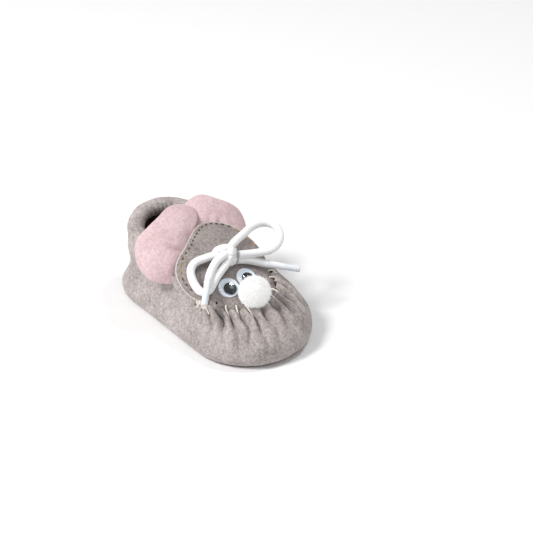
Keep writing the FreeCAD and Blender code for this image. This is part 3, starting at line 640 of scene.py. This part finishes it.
def sheet_points(margin, drop, roll, first_ring=0.0, turns=None):
    points = []
    turns = turns or [2 * math.pi * t / APRON_TURNS for t in range(APRON_TURNS)]
    for ring in range(APRON_RINGS):
        t = lerp(first_ring, 1.0, ring / (APRON_RINGS - 1))
        for turn in turns:
            edge = oval_edge(turn, margin)
            p = OVAL_CENTRE.lerp(edge, t)
            behind = smooth((p.y + 14) / 10)
            puff = 0.5 * (1 - t**4) * (1 - behind)
            curl = lerp(2.6, 1.0, behind) * roll * smooth((t - 0.86) / 0.14)
            wave = 0.30 * noise.noise(Vector((p.x, p.y, 3)) * 0.10)
            points.append(crown_point(p.x, p.y, puff - curl - drop + wave))
    return points


apron_points = sheet_points(-0.1, 0.1, 0.35)
apron_faces = [face[::-1] for face in grid_faces(APRON_RINGS, APRON_TURNS, wrap=True)]
apron = make_mesh("apron_and_tongue", apron_points, apron_faces, [GREY_TONGUE_SHADED, GREY_INSIDE_SHADED, RAW_EDGE])
solidify(apron, 1.45, -1.0, rim=2, inner=1)
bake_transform(apron)
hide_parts("apron", "tongue")

back_turns = [math.radians(lerp(84, 276, t / 200)) for t in range(201)]
lining_points = sheet_points(0.75, 1.75, 0.3, 0.25, back_turns)
lining_faces = [face[::-1] for face in grid_faces(APRON_RINGS, 201)]
lining = make_mesh("tongue_under_layer", lining_points, lining_faces, [GREY, GREY_INSIDE_SHADED, RAW_EDGE],
                   "tongue_flap")
solidify(lining, 0.8, -1.0, rim=2, inner=1)
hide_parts("tongue_lining")


# ---------------------------------------------------------------- ears

EAR_MIDDLE, EAR_REACH, EAR_CURVE = 18.5, 9.0, 44.0
# Ear outlines as points (along the seam, outwards from it) round the ear's middle.
# Fitted to points picked on the photo, then rounded and moved.
EAR_OUTLINES = {
    -1: ((25.5, -7.0), (25.4, -2.0), (23.0, 2.2), (19.0, 5.0), (13.2, 7.4), (7.8, 10.8), (1.8, 13.7),
         (-4.4, 13.9), (-11.2, 11.0), (-15.6, 7.0), (-18.2, 1.6), (-17.9, -4.5), (-15.6, -9.2),
         (-10.0, -11.0), (0.0, -11.0), (12.0, -11.0), (21.0, -10.0)),
    1: ((16.5, -7.0), (17.6, -1.0), (16.0, 5.2), (13.6, 10.0), (9.5, 13.8), (5.3, 15.1), (-0.5, 14.7),
         (-6.5, 15.0), (-11.7, 14.3), (-14.7, 12.1), (-16.6, 8.3), (-17.6, 4.0), (-17.6, -1.5),
         (-15.8, -7.5), (-11.0, -11.0), (0.0, -11.0), (10.0, -11.0))}
EAR_THICK = 1.8


def ear_axes(side):
    low, high = Vector((side * 24.6, 1.0, 28.2)), Vector((side * 1.6, 15.6, 41.0))
    along = (high - low).normalized()
    rear = Vector((side * 21.0, 29.0, 43.5)) - low
    outward = (rear - along * rear.dot(along)).normalized()
    if side > 0:
        outward = Matrix.Rotation(math.radians(9.0), 3, along * -side) @ outward
    facing = along.cross(outward) * -side
    middle = low + along * EAR_MIDDLE + outward * EAR_REACH
    return middle, along, outward, facing


def ear_outline(side, turns):
    """The outline by direction from the ear's middle, evenly spaced in angle."""
    corners = EAR_OUTLINES[side]
    fine = []
    for k in range(len(corners)):
        a, b, c, d = (Vector(corners[(k + i) % len(corners)]) for i in (-1, 0, 1, 2))
        fine += [0.5 * ((2 * b) + (c - a) * t + (2 * a - 5 * b + 4 * c - d) * t * t
                        + (3 * b - a - 3 * c + d) * t**3) for t in (i / 16 for i in range(16))]
    polar = sorted((math.atan2(p.y, p.x), p.length) for p in fine)
    polar = [(polar[-1][0] - 2 * math.pi, polar[-1][1]), *polar, (polar[0][0] + 2 * math.pi, polar[0][1])]
    reach, k = [], 0
    for turn in (-math.pi + 2 * math.pi * i / turns for i in range(turns)):
        while polar[k + 1][0] < turn:
            k += 1
        share = (turn - polar[k][0]) / max(polar[k + 1][0] - polar[k][0], 1e-9)
        reach.append((turn, lerp(polar[k][1], polar[k + 1][1], share)))
    return reach


def make_ear(name, side):
    middle, along, outward, facing = ear_axes(side)
    rings, turns = 46, 200
    outline = ear_outline(side, turns)
    points = []

    def surface(t, turn, reach, top):
        u, w = reach * math.cos(turn) * t, reach * math.sin(turn) * t
        dish = -(u * u + w * w) / (2 * EAR_CURVE)
        inner_end = 6.0 * smooth((u - 4) / 14) if side < 0 else -1.6 * smooth((u - 9) / 8)
        rim = max(0.0, 1 - t**3.4) ** 0.5
        seat = smooth((w + 11.0) / (7.0 if side < 0 else 10.0))
        thick = EAR_THICK * rim * lerp(0.5 if side < 0 else 0.2, 1.0, seat)
        dart = 1.9 * bump(u + 1.0, 1.7) * bump(w + 6.0, 4.6) + 0.7 * bump(u - 3.5, 2.4) * bump(w + 4.0, 5.0)
        lump = 0.55 * noise.noise(Vector((u, w, 5 + side)) * 0.10) * rim
        lump += 0.2 * noise.noise(Vector((u, w, side)) * 0.3) * rim
        height = -1.7 + inner_end + dish + (thick * 1.3 + lump - dart * rim if top else -thick + lump * 0.4)
        return middle + along * u + outward * w + facing * height

    for top in (True, False):
        order = range(rings) if top else range(rings - 2, -1, -1)
        for ring in order:
            t = math.sin(ring / (rings - 1) * math.pi / 2)
            points += [surface(t, turn, reach, top) for turn, reach in outline]
    faces = grid_faces(2 * rings - 1, turns, wrap=True)
    if side > 0:
        faces = [face[::-1] for face in faces]
    ear = make_mesh(name, points, faces, PINK, "ear_left" if side < 0 else "ear_right")
    weld = ear.modifiers.new("weld", "WELD")
    weld.merge_threshold = 0.02 * MM
    return ear


ear_left = make_ear("ear_left_padded", -1)
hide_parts("ear_left_front", "ear_left_back")
ear_right = make_ear("ear_right_padded", 1)
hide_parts("ear_right_front", "ear_right_back")


# ---------------------------------------------------------------- cord

LACE = 3.9
ROUTES = {
    "lace_loop_left": (
        (-1.8, -7.0, 37.1), (-5.8, -5.2, 37.6), (-10.0, -4.0, 37.3), (-14.8, -2.4, 36.7), (-18.9, -3.5, 34.4),
        (-21.0, -8.0, 31.0), (-21.4, -13.6, 28.0), (-18.1, -15.9, 28.1), (-13.7, -14.4, 30.8),
        (-8.4, -12.7, 33.3), (-1.5, -11.0, 35.4),
    ),
    "lace_loop_right": (
        (3.1, -6.5, 38.1), (7.6, -5.0, 39.4), (14.4, -3.6, 39.8), (22.6, -0.8, 39.9), (30.2, -1.4, 39.4),
        (33.3, -7.0, 38.5), (29.2, -14.6, 36.7), (21.8, -17.3, 34.6), (14.6, -13.8, 34.3),
        (9.4, -11.9, 34.9), (4.5, -11.1, 36.3),
    ),
    "lace_tail_left": (
        (-1.7, -9.6, 38.8), (-6.8, -9.6, 38.2), (-11.4, -10.8, 35.8), (-15.6, -12.9, 33.2),
        (-28.7, -24.4, 28.8),
    ),
    "lace_tail_right": (
        (3.6, -11.1, 34.0), (7.8, -11.9, 32.7), (12.2, -13.6, 30.7), (16.2, -15.3, 28.6), (28.7, -27.8, 25.6),
    ),
}
KNOT = Vector((1.2, -9.2, 36.8))


def cord_curve(name, route, squeeze_from=None):
    """One open NURBS cord; past squeeze_from points it narrows into its tip."""
    data = bpy.data.curves.new(name, "CURVE")
    data.dimensions = "3D"
    data.resolution_u = 14
    data.bevel_depth = LACE / 2 * MM
    data.bevel_resolution = 7
    data.use_fill_caps = True
    spline = data.splines.new("NURBS")
    spline.points.add(len(route) - 1)
    for k, (point, place) in enumerate(zip(spline.points, route)):
        point.co = (place[0] * MM, place[1] * MM, place[2] * MM, 1.0)
        if squeeze_from is not None and k >= squeeze_from:
            point.radius = 0.74
    spline.order_u = 3
    spline.use_endpoint_u = True
    data.materials.append(CORD_CURVE)
    piece = bpy.data.objects.new(name, data)
    bpy.context.scene.collection.objects.link(piece)
    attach(piece, "bow")
    return piece


for name in ("lace_loop_left", "lace_loop_right"):
    cord_curve(f"{name}_cord", ROUTES[name])
    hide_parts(name)


def make_aglet(name, route):
    """Clear film shrunk over the cord's end, with a slightly wider mouth and a cut rim."""
    bend, tip = Vector(route[-2]), Vector(route[-1])
    direction = (tip - bend).normalized()
    start = bend + direction * (0.45 * (bend - Vector(route[-3])).length + 0.2)
    length = (tip - start).length
    stations = ((0.0, 1.98, 1.90), (0.03, 1.93, 1.83), (0.10, 1.74, 1.60), (0.22, 1.64, 1.49),
                (0.5, 1.60, 1.46), (0.9, 1.61, 1.46), (0.985, 1.63, 1.46), (1.0, 1.60, 1.48))
    side = direction.cross(Vector((0, 0, 1))).normalized()
    top = side.cross(direction)
    sides = 36
    points = []
    rows = [(t, outer) for t, outer, _ in stations] + [(t, inner) for t, _, inner in reversed(stations)]
    for t, radius in rows:
        for s in range(sides):
            turn = 2 * math.pi * s / sides
            points.append(start + direction * length * t
                          + (side * math.cos(turn) + top * math.sin(turn)) * radius)
    faces = grid_faces(len(rows), sides, wrap=True)
    last = (len(rows) - 1) * sides
    faces += [(last + s, last + (s + 1) % sides, (s + 1) % sides, s) for s in range(sides)]
    sleeve = make_mesh(f"{name}_film", points, faces, FILM, "bow")
    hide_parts(name)
    ring_centre = tip - direction * 0.12
    ring = [ring_centre + (side * math.cos(a) + top * math.sin(a)) * 1.42
            for a in (2 * math.pi * k / 40 for k in range(41))]
    end = make_mesh(f"{name}_end", *tube_mesh(ring, [0.16] * 41, 8)[:2], TAN_RING, "bow")
    return sleeve, end


for side_name, tail_length in (("left", 0.0337), ("right", 0.0323)):
    name = f"lace_tail_{side_name}"
    route = list(ROUTES[name])
    bend, tip = Vector(route[-2]), Vector(route[-1])
    neck = bend + (tip - bend).normalized() * 5.4
    route = [*route[:-1], tuple(neck), route[-1]]
    cord_curve(f"{name}_cord", route, len(route) - 2)
    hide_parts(name)
    sleeve, end = make_aglet(f"aglet_{side_name}", ROUTES[name])


def knot_place(right, up, near):
    return KNOT + CAMERA_RIGHT * right + CAMERA_UP * up + TO_CAMERA * near


wrap_ring = [knot_place(0.1 + 0.25 * math.sin(2 * a), -0.15 + 3.15 * math.sin(a), 0.2 + 2.3 * math.cos(a))
             for a in (2 * math.pi * k / 60 for k in range(61))]
knot_parts = [tube_mesh(wrap_ring, [2.02] * 61, 24, up=CAMERA_RIGHT)]
lobe = along_polyline([knot_place(*p) for p in (
    (1.3, 1.2, 0.2), (-0.2, 3.1, 0.9), (-3.2, 3.0, 1.7), (-5.9, 1.9, 1.3), (-7.0, 0.2, -0.2),
    (-5.8, -1.2, -1.4))], 40)
knot_parts.append(tube_mesh(lobe, [1.95] * 40, 24))
under = along_polyline([knot_place(*p) for p in (
    (2.6, -2.6, -0.6), (0.6, -2.3, 0.0), (-1.8, -1.0, 0.6), (-4.0, 0.2, 0.4))], 24)
knot_parts.append(tube_mesh(under, [1.95] * 24, 24))
core = along_polyline([knot_place(*p) for p in ((3.0, 0.9, 0.0), (1.0, 0.8, 0.0), (-2.5, 0.3, -0.4))], 20)
knot_parts.append(tube_mesh(core, [2.3] * 20, 24))
knot_points, knot_faces, knot_uvs = join_parts(knot_parts)
knot = make_mesh("lace_knot_tied", knot_points, knot_faces, CORD_MESH, "bow", knot_uvs)
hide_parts("lace_knot")


# ---------------------------------------------------------------- eyes and nose

def turned(name, frame_matrix, profile, material, body, sides=64, closed=True):
    """A profile of (radius, height) turned round the frame's Z axis."""
    points = []
    for radius, height in profile:
        for s in range(sides):
            turn = 2 * math.pi * s / sides
            points.append(frame_matrix @ Vector((max(radius, 0.001) * math.cos(turn),
                                                 max(radius, 0.001) * math.sin(turn), height)))
    faces = grid_faces(len(profile), sides, wrap=True)
    if closed:
        last = (len(profile) - 1) * sides
        faces += [(last + s, last + (s + 1) % sides, (s + 1) % sides, s) for s in range(sides)]
    return make_mesh(name, points, faces, material, body)


def eye_matrix(x, y):
    normal = crown_normal(x, y)
    down = (Vector((0, -1, 0)) - normal * -normal.y).normalized()
    across = normal.cross(down)
    matrix = Matrix((down, across, normal)).transposed().to_4x4()
    matrix.translation = crown_point(x, y, 0.1)
    return matrix


DOME_RADIUS, DOME_FOOT, DOME_RISE, DOME_WALL = 4.85, 1.75, 1.30, 0.35
EYE_PLACES = (("left", -7.9, -17.9), ("right", 3.4, -17.8))
PUPIL_DROP = 0.9
# Profiles of radius and height above the apron.
CUP = ((0.0, -0.5), (4.7, -0.5), (4.95, -0.1), (5.0, 0.6), (4.95, 1.05), (4.75, 1.15), (4.55, 1.0),
       (4.4, 0.9), (0.0, 0.9))
DISC = ((0.0, 1.15), (2.9, 1.15), (3.08, 1.22), (3.1, 1.38), (3.08, 1.54), (2.9, 1.62), (0.0, 1.65))


def cover_profile():
    """The clear cap's outside and then its inside, as one closed outline."""
    outer = [(4.98, 0.95), (5.0, 1.35), (4.93, 1.70)]
    for k in range(1, 15):
        radius = DOME_RADIUS * math.cos(math.pi / 2 * k / 14)
        rise = math.sqrt(max(0.0, 1 - (radius / DOME_RADIUS) ** 2.4))
        outer.append((radius, DOME_FOOT + DOME_RISE * rise))
    inner = [(max(0.0, radius - 0.38), height - DOME_WALL) for radius, height in reversed(outer)]
    inner[-1] = (4.55, 0.95)
    return outer + inner


for side_name, x, y in EYE_PLACES:
    matrix = eye_matrix(x, y)
    base = turned(f"eye_cup_{side_name}", matrix, CUP, EYE_WHITE, "shoe", closed=False)
    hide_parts(f"eye_base_{side_name}")
    dome = turned(f"eye_cover_{side_name}", matrix, cover_profile(), EYE_CLEAR, "shoe")
    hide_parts(f"eye_dome_{side_name}")
    seat = matrix @ Matrix.Translation((PUPIL_DROP, 0.0, 0.0))
    pupil = turned(f"pupil_disc_{side_name}", seat, DISC, PUPIL, f"loose_pupil_{side_name}", closed=False)
    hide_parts(f"pupil_{side_name}")

NOSE = Vector((-2.8, -30.4, 28.2))
CORE_RADIUS, ROOT_RADIUS, STRANDS = 6.45, 6.3, 12000
GOLDEN_TURN = math.pi * (3 - math.sqrt(5))


def pompom_core():
    """The dense middle of the pom-pom, a slightly uneven ball."""
    points = []
    for r in range(25):
        lat = math.pi * r / 24
        for s in range(48):
            lon = 2 * math.pi * s / 48
            direction = Vector((math.sin(lat) * math.cos(lon), math.sin(lat) * math.sin(lon), math.cos(lat)))
            points.append(NOSE + direction * (CORE_RADIUS + 0.15 * noise.noise(direction * 3)))
    return points, grid_faces(25, 48, wrap=True), [(0, 0)] * len(points)


def pompom_strand(i):
    """One tapered strand of yarn, at the i-th of many evenly spread places."""
    z = 1 - 2 * (i + 0.5) / STRANDS
    radius = math.sqrt(1 - z * z)
    direction = Vector((radius * math.cos(GOLDEN_TURN * i), radius * math.sin(GOLDEN_TURN * i), z))
    lean = Vector((random.gauss(0, 1), random.gauss(0, 1), random.gauss(0, 1))) * 0.5
    side = direction.cross(lean).normalized()
    length = random.uniform(0.7, 1.2)
    along = (direction + lean * 0.6).normalized()
    second = along.cross(side).normalized()
    points = []
    for share, width in ((0.0, 0.13), (0.55, 0.10), (1.0, 0.02)):
        centre = NOSE + direction * (ROOT_RADIUS + length * share) + lean * (share**1.6) * length * 0.9
        for k in range(3):
            turn = 2 * math.pi * k / 3
            points.append(centre + (side * math.cos(turn) + second * math.sin(turn)) * width)
    return points, grid_faces(3, 3, wrap=True), [(0, 0)] * len(points)


yarn_parts = [pompom_core()] + [pompom_strand(i) for i in range(STRANDS)]
pompom = make_mesh("nose_pompom_fluffy", *join_parts(yarn_parts)[:2], POMPOM, "shoe")
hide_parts("nose_pompom")


# ---------------------------------------------------------------- stitches

def wrap_surface(signed_share, depth):
    """Point on the shaped wrap, depth millimetres below its edge, and its outward normal."""
    c = int(round((signed_share + 1.0) * HALF)) % COLUMNS
    step = (wrap_columns[c][ROWS - 1] - wrap_columns[c][ROWS - 2]).length
    r = int(clamp(ROWS - 1 - round(depth / step), 1, ROWS - 1))
    return shaped[r * COLUMNS + c], grid_normal(shaped, ROWS, COLUMNS, r, c)


def ellipsoid(centre, axes):
    """A small ellipsoid from three half-axis vectors."""
    points = []
    for r in range(9):
        lat = math.pi * r / 8
        for s in range(12):
            lon = 2 * math.pi * s / 12
            points.append(centre + axes[0] * (math.sin(lat) * math.cos(lon))
                          + axes[1] * (math.sin(lat) * math.sin(lon)) + axes[2] * math.cos(lat))
    return points, grid_faces(9, 12, wrap=True), [(0, 0)] * len(points)


THREAD_RADIUS, KNOT_THREAD, TOP_THREAD, HEEL_THREAD = 0.42, 0.33, 0.30, 0.26
UNSEWN_HOLES = (1, 9)


def whip_stitch(turn, share):
    """One stitch from the apron over the edge into a fold, and the two holes that it runs through, drawn as
    dark blobs of painted shade.
    """
    inner = oval_edge(turn + random.uniform(-0.02, 0.02), -2.3 + random.uniform(-0.3, 0.3))
    start = crown_point(inner.x, inner.y, 0.25)
    depth = random.uniform(3.0, 4.4)
    end, normal = wrap_surface(share + random.uniform(-0.003, 0.003), depth)
    face_normal = crown_normal(inner.x, inner.y)
    edge = oval_edge(turn, 0.3)
    line = along_polyline([start - face_normal * 0.9, start, crown_point(edge.x, edge.y, 1.0),
                           end + normal * 0.35, end - normal * 0.9], 26)
    along = (end - start).normalized()
    lower = (along * 1.5, along.cross(normal).normalized() * 0.6, normal * 0.5)
    upper = (along * 0.65, along.cross(face_normal).normalized() * 0.42, face_normal * 0.3)
    pair = [ellipsoid(end - normal * 0.15, lower),
            ellipsoid(start - face_normal * 0.18 - along * 0.2, upper)]
    return tube_mesh(line, [THREAD_RADIUS] * len(line), 8), pair


whip, holes = [], []
for k, (turn, share) in enumerate(zip(STITCH_TURNS, VALLEYS)):
    thread, pair = whip_stitch(turn, share)
    holes += pair
    if k not in UNSEWN_HOLES:
        whip.append(thread)
stitches = make_mesh("whip_stitches", *join_parts(whip)[:2], THREAD, "shoe")
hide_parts("apron_stitches")
# The hole blobs are painted shade, not openings.
punched = make_mesh("punched_holes_painted_shade", *join_parts(holes)[:2], HOLE_SHADE, "shoe")


def thread_knot(turn):
    """A blob of five loops of thread with one short tail."""
    place = oval_edge(math.radians(turn), 0.6)
    centre = crown_point(place.x, place.y, 0.6)
    parts = []
    for _ in range(5):
        start = centre + Vector([random.uniform(-0.8, 0.8) for _ in range(3)])
        tilt = Vector([random.gauss(0, 1) for _ in range(3)]).normalized()
        first = tilt.cross(Vector((0, 0, 1))).normalized()
        second = tilt.cross(first)
        ring = [start * 0.5 + centre * 0.5 + (first * math.cos(a) + second * math.sin(a)) * 0.85
                for a in (2 * math.pi * i / 16 for i in range(17))]
        parts.append(tube_mesh(ring, [KNOT_THREAD] * 17, 8))
    side = math.copysign(1, turn)
    tail = along_polyline([centre, centre + Vector((side * 1.4, -1.0, -0.2)),
                           centre + Vector((side * 2.5, -1.2, -1.2))], 12)
    return parts + [tube_mesh(tail, [KNOT_THREAD] * 12, 8)]


thread_knots = make_mesh("thread_knots", *join_parts(thread_knot(-77.5) + thread_knot(77.5))[:2],
                         THREAD, "shoe")
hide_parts("stitch_knots")


def tongue_top(p, up):
    """A point on the tongue's waved top, from its plan position."""
    return crown_point(p.x, p.y, up + 0.30 * noise.noise(Vector((p.x, p.y, 3)) * 0.10))


TOP_STITCHES, STITCH_INSET, STITCH_HALF = 25, -2.1, math.radians(1.35)


def top_stitch(turn):
    low = oval_edge(turn - STITCH_HALF, STITCH_INSET)
    a, b = (tongue_top(oval_edge(turn + swing, STITCH_INSET), 0.02) for swing in (-STITCH_HALF, STITCH_HALF))
    normal = crown_normal(low.x, low.y)
    line = along_polyline([a - normal * 0.3, a.lerp(b, 0.2) + normal * 0.12,
                           a.lerp(b, 0.8) + normal * 0.12, b - normal * 0.3], 9)
    return tube_mesh(line, [TOP_THREAD] * 9, 8)


dark, gold = [], []
for k in range(TOP_STITCHES):
    turn = math.radians(lerp(94, 266, k / (TOP_STITCHES - 1)))
    # Stitches in two stretches of the row use the gold thread, the rest the brown.
    gold_stretch = abs(turn - math.radians(120)) < 0.25 or abs(turn - math.radians(238)) < 0.12
    (gold if gold_stretch else dark).append(top_stitch(turn))
topstitching = make_mesh("topstitching", *join_parts(dark)[:2], DARK_THREAD, "tongue_flap")
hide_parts("tongue_topstitching")
gold_line = make_mesh("topstitching_gold", *join_parts(gold)[:2], GOLD_THREAD, "tongue_flap")

heel_column = [shaped[r * COLUMNS] for r in range(ROWS)]
seam = []
for k in range(9):
    centre = min(heel_column, key=lambda p: abs(p.z - (9.0 + 2.2 * k)))
    line = along_polyline([centre + Vector((-1.5, -0.2, 0.3)), centre + Vector((-0.7, 0.45, 0.1)),
                           centre + Vector((0.7, 0.45, -0.1)), centre + Vector((1.5, -0.2, -0.3))], 12)
    seam.append(tube_mesh(line, [HEEL_THREAD] * 12, 8))
heel_stitches = make_mesh("heel_stitches", *join_parts(seam)[:2], THREAD, "shoe")
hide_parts("heel_seam_stitches")

rim = [tongue_top(oval_edge(turn, -0.15), -0.55) for turn in back_turns]
cut_edge = make_mesh("tongue_cut_edge", *tube_mesh(rim, [0.30] * len(rim), 8)[:2], CUT_EDGE, "tongue_flap")

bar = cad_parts["lace_bar"]
bar.data.materials.clear()
bar.data.materials.append(CORD_MESH)


# ---------------------------------------------------------------- floor and light

bpy.ops.mesh.primitive_plane_add(size=6.0, location=(0, 0, 0))
floor = bpy.context.object
floor.name = "floor"
floor.data.materials.append(FLOOR)


def area_light(name, place, size, power, color=(1, 1, 1)):
    data = bpy.data.lights.new(name, "AREA")
    data.shape = "DISK"
    data.size = size
    data.energy = power
    data.color = color
    light = bpy.data.objects.new(name, data)
    bpy.context.scene.collection.objects.link(light)
    light.location = place
    light.rotation_euler = (-Vector(place)).to_track_quat("-Z", "Y").to_euler()


area_light("key", (-0.76, 0.30, 0.94), 0.42, 13.0, (1.0, 0.99, 0.98))
area_light("top", (0.40, -0.12, 0.95), 0.16, 2.8)
area_light("front", (-0.45, -0.95, 0.55), 0.7, 0.9, (0.98, 0.99, 1.0))
world = bpy.data.worlds.new("studio")
bpy.context.scene.world = world
world.use_nodes = True
world.node_tree.nodes["Background"].inputs["Color"].default_value = (1.0, 1.0, 1.0, 1)
world.node_tree.nodes["Background"].inputs["Strength"].default_value = 0.42
bpy.context.scene.view_settings.view_transform = "Standard"
